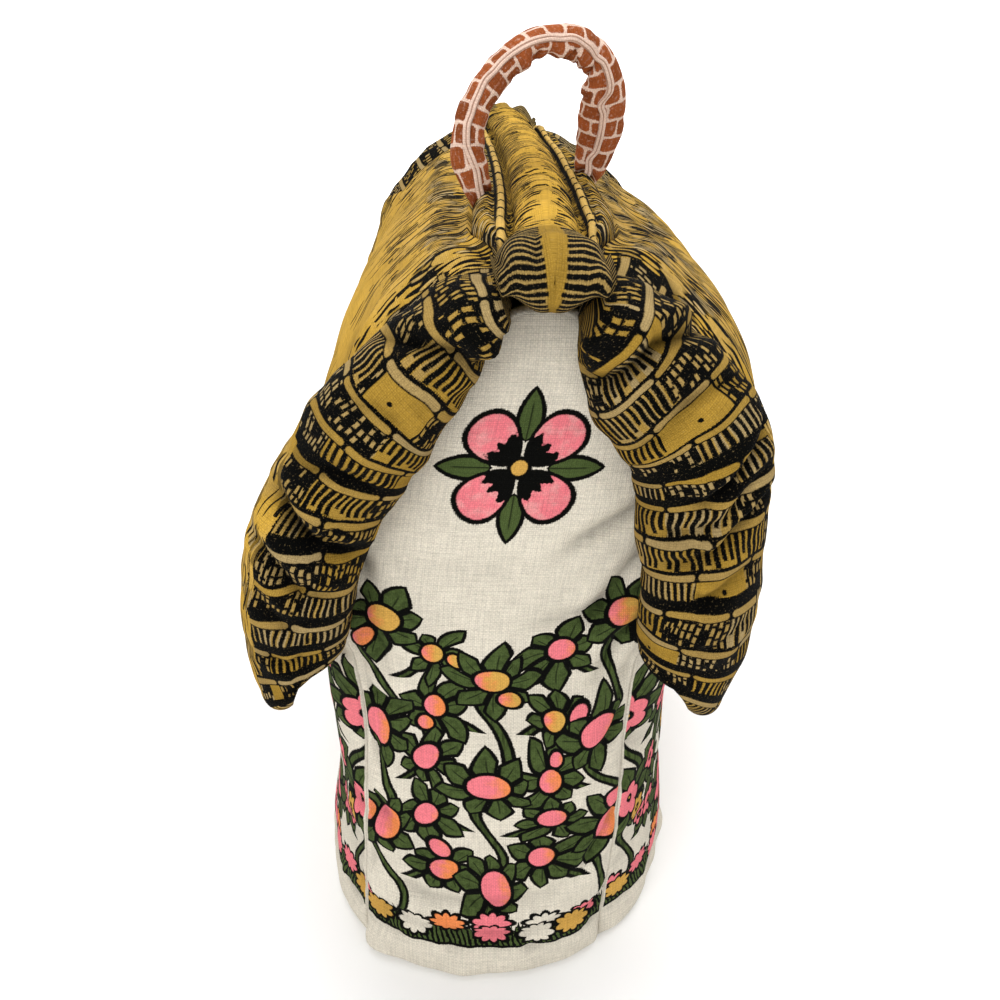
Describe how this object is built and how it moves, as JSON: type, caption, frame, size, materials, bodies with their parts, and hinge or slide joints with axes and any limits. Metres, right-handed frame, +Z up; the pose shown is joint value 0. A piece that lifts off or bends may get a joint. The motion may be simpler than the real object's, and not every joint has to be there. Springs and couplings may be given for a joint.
{
  "type": "tea cosy",
  "caption": "Padded cloth cover that keeps a teapot warm, shaped like a thatched cottage with bulging walls, a thick roof with fat rolls at its gables, and a loop on the ridge to lift it by.",
  "frame": {"origin": "under the middle of the box around the part, at the hem that it stands on", "axes": "+Z up, Y along the ridge with the gable that the picture shows facing -Y, +X to the right seen from that gable; the part is tallest along Z and narrowest along X"},
  "size_m": [0.1661, 0.2958, 0.3054],
  "materials": {
    "wall_cloth": "matt cream linen and cotton weave with printed sprigs",
    "thatch_cloth": "matt ochre linen and cotton weave with printed straw strokes",
    "brick_cloth": "matt linen and cotton weave with a brick print"
  },
  "bodies": {
    "root": {"gable_near": "wall_cloth", "gable_far": "wall_cloth", "side_left": "wall_cloth", "side_right": "wall_cloth", "roof_left": "thatch_cloth", "roof_right": "thatch_cloth", "ridge_cap": "thatch_cloth", "handle_loop": "brick_cloth"}
  },
  "joints": []
}
